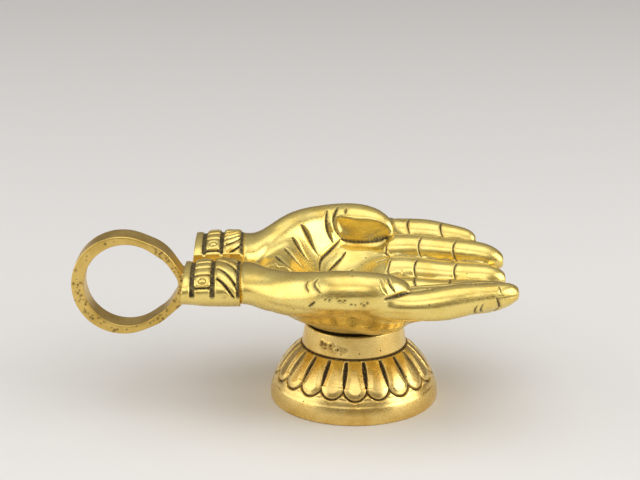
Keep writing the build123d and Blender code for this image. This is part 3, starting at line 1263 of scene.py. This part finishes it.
    def panel_relief(self, x: np.ndarray, arc: np.ndarray) -> np.ndarray:
        """Draw the panel band: swelling plates between notches, two of them with a ringed boss.

        Args:
            x: Places along X.
            arc: Places round the cuff.

        Returns:
            How far each point sinks.
        """
        swell = self.swell[0] * self.fields(self.notches, arc)[0] ** 0.7
        sink = -swell
        for place in self.notches:
            wide = 0.62 if place in (self.notches[0], self.notches[-1]) else 0.45
            sink = np.maximum(sink, self.cut[0] * np.exp(-((arc - place) / wide) ** 2) - swell)
        for place in self.bosses:
            gap = np.hypot(arc - place, x - sum(self.band(1)) / 2)
            ring = 0.5 * np.exp(-((gap - 1.25) / 0.3) ** 2)
            dot = 0.25 * np.exp(-(gap / 0.7) ** 2)
            sink = np.where(gap < 2.2, ring - dot - swell, sink)
        return self.bounded(1, x, sink, 0.4, 1.3)

    def leaf_relief(self, x: np.ndarray, arc: np.ndarray) -> np.ndarray:
        """Draw the leaf band: plump leaves that sweep round the cuff, with bold lines between.

        Args:
            x: Places along X.
            arc: Places round the cuff.

        Returns:
            How far each point sinks.
        """
        low, high = self.band(0)
        across = np.clip((x - low - 0.6) / (high - low - 0.6), 0.0, 1.0)
        wave, gap = self.fields(self.veins, arc - self.sweep * across ** 1.5)
        lean = np.hypot(1.0, 1.5 * self.sweep * np.sqrt(across) / (high - low))
        thin = 0.3 + 0.38 * np.sin(np.pi * (0.22 + 0.68 * across))
        line = self.cut[1] * np.exp(-(gap / lean / thin) ** 2) * ease(0.0, 0.08, across)
        return self.bounded(0, x, line - self.swell[1] * wave ** 0.8, 0.45, 1.5)

    def carve(self, skin: Skin) -> None:
        """Cut the panels, bosses, leaves and beads.

        Args:
            skin: Skin of the cuff.
        """
        x = skin.points[:, 0]
        y, z, _, shown = self.section(skin)
        arc = self.arc(y, z)
        first, last = self.dressed
        shown *= window((first - 1, first), (last + 0.6, last + 2.0), arc)
        sink = (self.panel_relief(x, arc) + self.leaf_relief(x, arc)) * shown
        grooves = self.in_grooves(x, 0.25) * shown
        beads = 0.16 * np.sin(2 * np.pi * arc / 1.05) * np.sin(2 * np.pi * x / 1.1) * grooves
        rim = self.band(2)[1]
        turned = 0.5 * (1 - ease(0.0, 1.6, rim - x)) * (x < rim + 0.3) * shown
        skin.points -= skin.normals * (sink + 0.3 * grooves + beads + turned)[:, None]
        skin.darken_patina_and_shade(ease(0.25, 0.6, sink))
        skin.darken_patina_and_shade(0.9 * grooves)

    def draw_in(self, skin: Skin) -> None:
        """Draw the outside in, above and below, towards the open end.

        Args:
            skin: Skin of the cuff.
        """
        _, rise, out, _ = self.section(skin)
        far = (self.wrist - skin.points[:, 0]) / (self.wrist - self.band(2)[0])
        skin.points[:, 2] -= 0.13 * rise * ease(0.45, 1.0, far) * ease(0.8, 0.9, out)

    def build(self) -> bpy.types.Object:
        """Cast and carve the cuff.

        Returns:
            The finished piece.
        """
        piece = cast_blank(self.node, f"{self.node}_bangles", self.voxel, 3)
        skin = Skin(piece)
        self.fill_plain_side(skin)
        skin.write()
        self.carve(skin)
        self.draw_in(skin)
        skin.pit(np.array(self.mark) * (1, self.side.value, 1), 0.9, 0.35, 0.3)
        skin.finish(8, 0.25, 0.8)
        dress(piece, self.finish, "hands", "engraved_brass", self.node)
        return piece


@dataclass
class FingerRing:
    """Egg-shaped finger ring, rough from the mould on its flat faces.

    Attributes:
        finish: Its brass.
        node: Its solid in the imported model.
        middle: Place of the middle of its loop along X and up.
        voxel: Size of the skin's faces.
        pits: How many casting pits each flat face has.
        film: How much dark film the inner and outer rounds keep.
    """

    finish: BrassFinish
    node: str = "ring_handle"
    middle: tuple[float, float] = (-87.1, 45.6)
    voxel: float = 0.27
    pits: int = 170
    film: float = 0.04

    def pit_chance(self, point: np.ndarray) -> float:
        """Say how likely a pit is: most lie next to the cuffs, at the back and low down.

        Args:
            point: Place on the ring.

        Returns:
            A share from 0 to 1.
        """
        ahead = point[0] - self.middle[0]
        above = point[2] - self.middle[1]
        if ahead > 11.0:
            return 1.0
        if above < 3.0 and (ahead < -11.0 or above < -12.0):
            return 0.6
        return 0.15

    def build(self) -> bpy.types.Object:
        """Cast the ring and leave its pits.

        Returns:
            The finished piece.
        """
        piece = cast_blank(self.node, "finger_ring_casting", self.voxel, 3)
        skin = Skin(piece)
        skin.stain = self.film * (1 - ease(0.3, 0.7, np.abs(skin.normals[:, 1])))
        dice = random.Random(5)
        for facing in (-1, 1):
            face = list(np.flatnonzero(skin.normals[:, 1] * facing > 0.9))
            left = self.pits
            while left:
                spot = skin.points[dice.choice(face)].copy()
                if dice.random() < self.pit_chance(spot):
                    radius = dice.choice((0.24, 0.3, 0.36, 0.46))
                    skin.pit(spot, radius, 0.8 * radius, dice.uniform(0.75, 1.0), 0.1 * radius)
                    left -= 1
        skin.finish(10, 0.5, 0.5)
        dress(piece, self.finish, "hands", "ring_brass", self.node)
        return piece


@dataclass
class LotusPedestal:
    """Turned pedestal with twenty engraved lotus petals.

    Attributes:
        finish: Its brass.
        node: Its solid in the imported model.
        steps: Faces round the axis.
        petals: Number of petals.
        foot: Radius and height of the widest place.
        band_top: Radius and height of the top of the plain band.
        shoulder: Radius and height of the top of the petals.
        bulge: How far the flank swells out of a straight cone.
        neck: Radius and height of the neck's rim.
        well: Radius and height of the floor inside the rim.
        web: Radius of the bore and height of the underside of the floor.
        shell: Wall of the hollow foot.
        petal_tip: Where the petals end, as a length up the flank.
        petal_run: Lengths up the flank at which the petals' half widths are given.
        petal_half: Their half widths there.
        petal_round: Radius of their rounded ends.
        crown: How far a petal swells.
        groove: Depth of the grooves between the petals.
        weld: Points closer than this are one.
    """

    finish: BrassFinish
    node: str = "lotus_pedestal"
    steps: int = 600
    petals: int = 20
    foot: tuple[float, float] = (31.9, 1.8)
    band_top: tuple[float, float] = (30.2, 8.8)
    shoulder: tuple[float, float] = (20.4, 21.3)
    bulge: float = 0.7
    neck: tuple[float, float] = (18.6, 30.2)
    well: tuple[float, float] = (15.6, 26.0)
    web: tuple[float, float] = (4.06, 19.5)
    shell: float = 3.3
    petal_tip: float = 1.0
    petal_run: tuple[float, ...] = (0.0, 3.5, 6.0, 9.0, 12.5)
    petal_half: tuple[float, ...] = (4.15, 4.05, 3.55, 2.95, 2.5, 2.45)
    petal_round: float = 4.05
    crown: float = 0.35
    groove: float = 1.0
    weld: float = 0.005

    @staticmethod
    def run(start: tuple[float, float], end: tuple[float, float], count: int, bulge: float) -> list:
        """Divide a straight or bowed line of the outline.

        Args:
            start: Radius and height where it starts; that point itself is left out.
            end: Radius and height where it ends.
            count: Number of points.
            bulge: How far its middle bows outwards.

        Returns:
            The points.
        """
        line = np.array(end) - np.array(start)
        side = np.array([line[1], -line[0]]) / np.hypot(*line)
        shares = [(i + 1) / count for i in range(count)]
        return [tuple(np.array(start) + line * s + side * bulge * 4 * s * (1 - s)) for s in shares]

    def outline(self) -> list:
        """Draw half of the section, from the table up the outside and down the inside.

        Returns:
            Radius and height of each point.
        """
        edge = (self.foot[0] - 0.5, 0.0)
        chamfer = 0.35
        inner_foot = self.foot[0] - self.shell
        inner_low = (self.band_top[0] - self.shell + 0.3, self.band_top[1] - 1.6)
        slope = (self.band_top[0] - self.shoulder[0]) / (self.shoulder[1] - self.band_top[1])
        inner_top = (inner_low[0] - (self.web[1] - inner_low[1]) * slope, self.web[1])
        # Where each line ends, how many points it has and how far it bows.
        lines = (
            ((edge[0] + 0.4, 0.6), 2, 0.0),
            (self.foot, 3, 0.0),
            (self.band_top, 16, 0.35),
            (self.shoulder, 62, self.bulge),
            ((self.shoulder[0] - 0.5, self.shoulder[1] - 0.35), 2, 0.0),
            ((self.shoulder[0] - 1.1, self.shoulder[1] + 0.15), 3, 0.0),
            ((self.shoulder[0] - 0.65, self.shoulder[1] + 0.75), 3, 0.0),
            ((self.neck[0], self.neck[1] - chamfer), 22, 0.0),
            ((self.neck[0] - chamfer, self.neck[1]), 2, 0.0),
            ((self.well[0] + chamfer, self.neck[1]), 5, 0.0),
            ((self.well[0], self.neck[1] - chamfer), 2, 0.0),
            (self.well, 3, 0.0),
            ((self.web[0], self.well[1]), 4, 0.0),
            (self.web, 3, 0.0),
            (inner_top, 4, 0.0),
            (inner_low, 8, 0.0),
            ((inner_foot, 0.3), 5, 0.0),
            ((inner_foot + 0.3, 0.0), 1, 0.0),
            (edge, 3, 0.0),
        )
        points = [edge]
        for end, count, bulge in lines:
            points += self.run(points[-1], end, count, bulge)
        return points

    def turn(self) -> bpy.types.Object:
        """Turn the plain body on the lathe: draw the outline and spin it round the axis.

        Returns:
            The plain body.
        """
        bpy.ops.object.select_all(action="DESELECT")
        points = [Vector((r, 0.0, z)) * MM for r, z in self.outline()]
        bpy.ops.mesh.primitive_plane_add(size=2 * MM, location=(0.0, 0.0, 0.0))
        piece = bpy.context.active_object
        piece.name = "lotus_pedestal_casting"
        bpy.ops.object.mode_set(mode="EDIT")
        bpy.ops.mesh.select_mode(type="VERT")
        bpy.ops.mesh.select_all(action="SELECT")
        bpy.ops.mesh.merge(type="CENTER")
        bpy.ops.transform.translate(value=points[0])
        for before, after in zip(points[:-1], points[1:]):
            bpy.ops.mesh.extrude_region_move(TRANSFORM_OT_translate={"value": after - before})
        bpy.ops.mesh.select_all(action="SELECT")
        axis = (0.0, 0.0, 1.0)
        bpy.ops.mesh.spin(steps=self.steps, angle=2 * math.pi, center=(0.0, 0.0, 0.0), axis=axis)
        bpy.ops.mesh.select_all(action="SELECT")
        bpy.ops.mesh.remove_doubles(threshold=self.weld * MM)
        bpy.ops.mesh.normals_make_consistent(inside=False)
        bpy.ops.object.mode_set(mode="OBJECT")
        return piece

    def carve(self, skin: Skin) -> None:
        """Cut the petals out of the flank; the petal grooves and the scribed line take patina, and the well
        inside the neck's rim takes painted shade.

        Args:
            skin: Skin of the pedestal.
        """
        radius = np.hypot(skin.points[:, 0], skin.points[:, 1])
        height = skin.points[:, 2]
        start, end = np.array(self.band_top), np.array(self.shoulder)
        length = float(np.hypot(*(end - start)))
        line = (end - start) / length
        up = (radius - start[0]) * line[0] + (height - start[1]) * line[1]
        outward = (radius - start[0]) * line[1] - (height - start[1]) * line[0]
        flank = (up > -2.0) & (up < length + 0.05) & (outward > -0.6)
        turn = np.degrees(np.arctan2(skin.points[:, 1], skin.points[:, 0])) + 90
        step = 360 / self.petals
        number = np.round(turn / step)
        aside = np.abs(np.radians(turn - number * step) * radius)
        dice = random.Random(3)
        chances = np.array([dice.uniform(-1, 1) for _ in range(self.petals)])
        jitter = chances[number.astype(int) % self.petals]
        tip = self.petal_tip + 0.25 * jitter
        half = np.interp(up, (*self.petal_run, length), self.petal_half) + 0.08 * jitter
        ball = self.petal_round + 0.08 * jitter
        below = np.clip(tip + ball - up, 0.0, None)
        inward = np.where(below > 0, ball - np.hypot(aside, below), half - aside)
        outline = window((0.0, 0.3), (0.6, 1.0), -inward)
        spindle = ease(0.0, 0.45, -inward)
        above = ease(2.0, 5.0, up)
        fade = ease(length + 0.05, length - 0.5, up)
        groove = (outline * (1 - above) + spindle * above) * flank
        crown = self.crown * ease(0.0, 1.9, inward) * ease(0.4, 4.0, length - up) * flank
        shelf = 0.16 * ease(-1.0, 0.0, -outline) * (up < tip) * flank
        skin.points += skin.normals * ((crown - self.groove * groove) * fade - shelf)[:, None]
        scribed = np.hypot(radius - self.shoulder[0] + 0.95, height - self.shoulder[1])
        # Painted shade in the well inside the neck's rim, the gap under the hands' belly; the petal grooves
        # and the scribed line take real patina.
        rim, top = self.neck
        inside = ease(0.25, 0.5, rim - radius) * ease(top - 5.0, top - 4.0, height)
        for stain in (groove * fade, np.exp(-(scribed / 0.6) ** 2), 0.8 * inside):
            skin.darken_patina_and_shade(stain)

    def casting_flaws(self, skin: Skin) -> None:
        """Leave the cluster of pits on the neck and the nick in the foot.

        Args:
            skin: Skin of the pedestal.
        """
        dice = random.Random(21)
        for _ in range(60):
            share = dice.random()
            rise = dice.uniform(-1.0, 1.0)
            spot = np.array([-12.6 + 10.0 * share, -14.0 - 4.8 * share, 26.2 - 2.6 * share + rise])
            spot[:2] *= 19.0 / np.hypot(*spot[:2])
            radius = dice.uniform(0.3, 0.6)
            skin.pit(spot, radius, 0.8 * radius, dice.uniform(0.8, 1.0), 0.2 * radius)
        for up in (0.0, 0.4, 0.8):
            skin.pit(np.array([1.0 + 0.2 * up, -30.5, 8.0 - up]), 0.35, 0.3, 0.9)

    def build(self) -> bpy.types.Object:
        """Turn and carve the pedestal.

        Returns:
            The finished piece.
        """
        piece = self.turn()
        skin = Skin(piece)
        self.carve(skin)
        skin.write()
        self.casting_flaws(skin)
        skin.finish(8, 0.3, 0.7)
        dress(piece, self.finish, "pedestal", "pedestal_brass", self.node)
        return piece


@dataclass
class StudSet:
    """Flanged stud, washer and nut that hold the hands on the pedestal.

    Attributes:
        finish: Their brass.
        nodes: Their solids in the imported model.
    """

    finish: BrassFinish
    nodes: tuple[str, ...] = ("flanged_stud", "washer", "nut")

    def dress(self) -> None:
        """Give the turned pieces their finish."""
        material = self.finish.material()
        for node in self.nodes:
            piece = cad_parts[node]
            piece.data.materials.clear()
            piece.data.materials.append(material)
            LOG.info("%s: turned brass", node)


@dataclass(frozen=True)
class Lamp:
    """One soft lamp.

    Attributes:
        name: Its name.
        place: Where it hangs, in metres.
        size: Width and height of its face.
        power: Its power in watts.
    """

    name: str
    place: Point
    size: tuple[float, float]
    power: float

    def hang(self, aim: Point) -> None:
        """Hang the lamp so that it faces a point."""
        bpy.ops.object.select_all(action="DESELECT")
        bpy.ops.object.light_add(type="AREA", location=self.place)
        lamp = bpy.context.active_object
        lamp.name = self.name
        lamp.data.shape = "RECTANGLE"
        lamp.data.size, lamp.data.size_y = self.size
        lamp.data.energy = self.power
        lamp.rotation_euler = (Vector(aim) - Vector(self.place)).to_track_quat("-Z", "Y").to_euler()


@dataclass
class Studio:
    """Pale floor, soft lamps and the camera.

    Attributes:
        floor: Colour of the floor.
        grain_mm: Width of the floor's grain.
        lamps: The lamps.
        aim: Point that the lamps face.
        horizon: Linear colour of the room at the horizon.
        ceiling: Linear colour of the room overhead.
        camera_place: Where the camera stands, in metres.
        camera_tilt: How far the camera is raised from looking straight down, in degrees.
        lens: Focal length in millimetres.
        sensor: Width of the camera's sensor in millimetres.
    """

    floor: str = "#E4E2E0"
    grain_mm: float = 1.5
    lamps: tuple[Lamp, ...] = (
        Lamp("left_window", (-0.95, -0.10, 0.46), (1.25, 0.85), 4.8),
        Lamp("right_window", (0.95, -0.25, 0.48), (0.85, 0.85), 6.6),
        Lamp("front_softbox", (-0.10, -0.80, 0.80), (1.00, 0.40), 1.8),
        Lamp("ceiling_panel", (0.0, -0.05, 1.05), (1.10, 0.85), 3.0),
    )
    aim: Point = (0.0, 0.0, 0.04)
    horizon: Point = (0.15, 0.117, 0.078)
    ceiling: Point = (0.48, 0.476, 0.466)
    camera_place: Point = (-0.01297, -0.700, 0.29076)
    camera_tilt: float = 71.91
    lens: float = 110.49
    sensor: float = 36.0

    def lay_floor(self) -> None:
        """Lay the floor with a matt pale finish."""
        bpy.ops.object.select_all(action="DESELECT")
        bpy.ops.mesh.primitive_plane_add(size=12.0, location=(0.0, 0.0, 0.0))
        floor = bpy.context.active_object
        floor.name = "floor"
        material = bpy.data.materials.new("matt_pale_floor")
        material.use_nodes = True
        material.node_tree.nodes.clear()
        add = partial(add_node, material.node_tree)
        place = add("ShaderNodeTexCoord").outputs["Object"]
        grain = add(
            "ShaderNodeTexNoise", {"Scale": 1 / (self.grain_mm * MM), "Detail": 2.0}, {"Vector": place}
        )
        bump = add(
            "ShaderNodeBump", {"Strength": 0.12, "Distance": 0.2 * MM}, {"Height": grain.outputs["Fac"]}
        )
        shader = add(
            "ShaderNodeBsdfPrincipled", {"Base Color": linear(self.floor), "Roughness": 0.85},
            {"Normal": bump.outputs["Normal"]},
        )
        add("ShaderNodeOutputMaterial", links={"Surface": shader.outputs["BSDF"]})
        floor.data.materials.append(material)

    def light(self) -> None:
        """Hang the lamps and shade the room from a dim horizon to a pale ceiling."""
        for lamp in self.lamps:
            lamp.hang(self.aim)
        world = bpy.data.worlds.new("studio_room")
        bpy.context.scene.world = world
        world.use_nodes = True
        world.node_tree.nodes.clear()
        add = partial(add_node, world.node_tree)
        ray = add("ShaderNodeTexCoord").outputs["Generated"]
        rise = add("ShaderNodeSeparateXYZ", links={"Vector": ray})
        share = add("ShaderNodeMapRange", {"From Max": 0.8}, {"Value": rise.outputs["Z"]})
        tone = add(
            "ShaderNodeMix", {6: (*self.horizon, 1.0), 7: (*self.ceiling, 1.0)},
            {0: share.outputs["Result"]}, data_type="RGBA",
        )
        glow = add("ShaderNodeBackground", links={"Color": tone.outputs[2]})
        add("ShaderNodeOutputWorld", links={"Surface": glow.outputs["Background"]})

    def set_camera(self) -> None:
        """Stand the camera where the photograph was taken from."""
        bpy.ops.object.select_all(action="DESELECT")
        tilt = (math.radians(self.camera_tilt), 0.0, 0.0)
        bpy.ops.object.camera_add(location=self.camera_place, rotation=tilt)
        camera = bpy.context.active_object
        camera.name = "camera"
        camera.data.lens = self.lens
        camera.data.sensor_width = self.sensor
        bpy.context.scene.camera = camera
        bpy.context.scene.view_settings.view_transform = "Standard"


def main() -> None:
    """Build every piece in order, light the scene and set the camera."""
    logging.basicConfig(level=logging.INFO, format="%(name)s: %(message)s")
    hand_brass = BrassFinish("buffed_cast_brass")
    cuff_brass = BrassFinish("engraved_cast_brass", roughness=0.3)
    ring_brass = BrassFinish(
        "rough_cast_brass", clean="#E9C873", cloudy="#C7A44C", roughness=0.33, pit_mm=1.2, pit_share=0.16
    )
    pedestal_brass = BrassFinish("turned_cast_brass", clean="#F3D484", cloudy="#DDB35A", roughness=0.28)
    stud_brass = BrassFinish("turned_brass_bar", roughness=0.22, pit_share=0.0)
    CuppedHand(Side.RIGHT, "right_hand", hand_brass).build()
    CuppedHand(Side.LEFT, "left_hand", hand_brass).build()
    BangleCuff(Side.RIGHT, "right_cuff", cuff_brass).build()
    left_veins = (-13.6, -9.0, -5.4, -2.2, 1.2, 5.0, 9.2, 13.6)
    left_widths = (6.7, 5.4, 4.7)
    BangleCuff(Side.LEFT, "left_cuff", cuff_brass, veins=left_veins, sweep=4.6, widths=left_widths).build()
    FingerRing(ring_brass).build()
    LotusPedestal(pedestal_brass).build()
    StudSet(stud_brass).dress()
    studio = Studio()
    studio.lay_floor()
    studio.light()
    studio.set_camera()


if __name__ == "__main__":
    main()
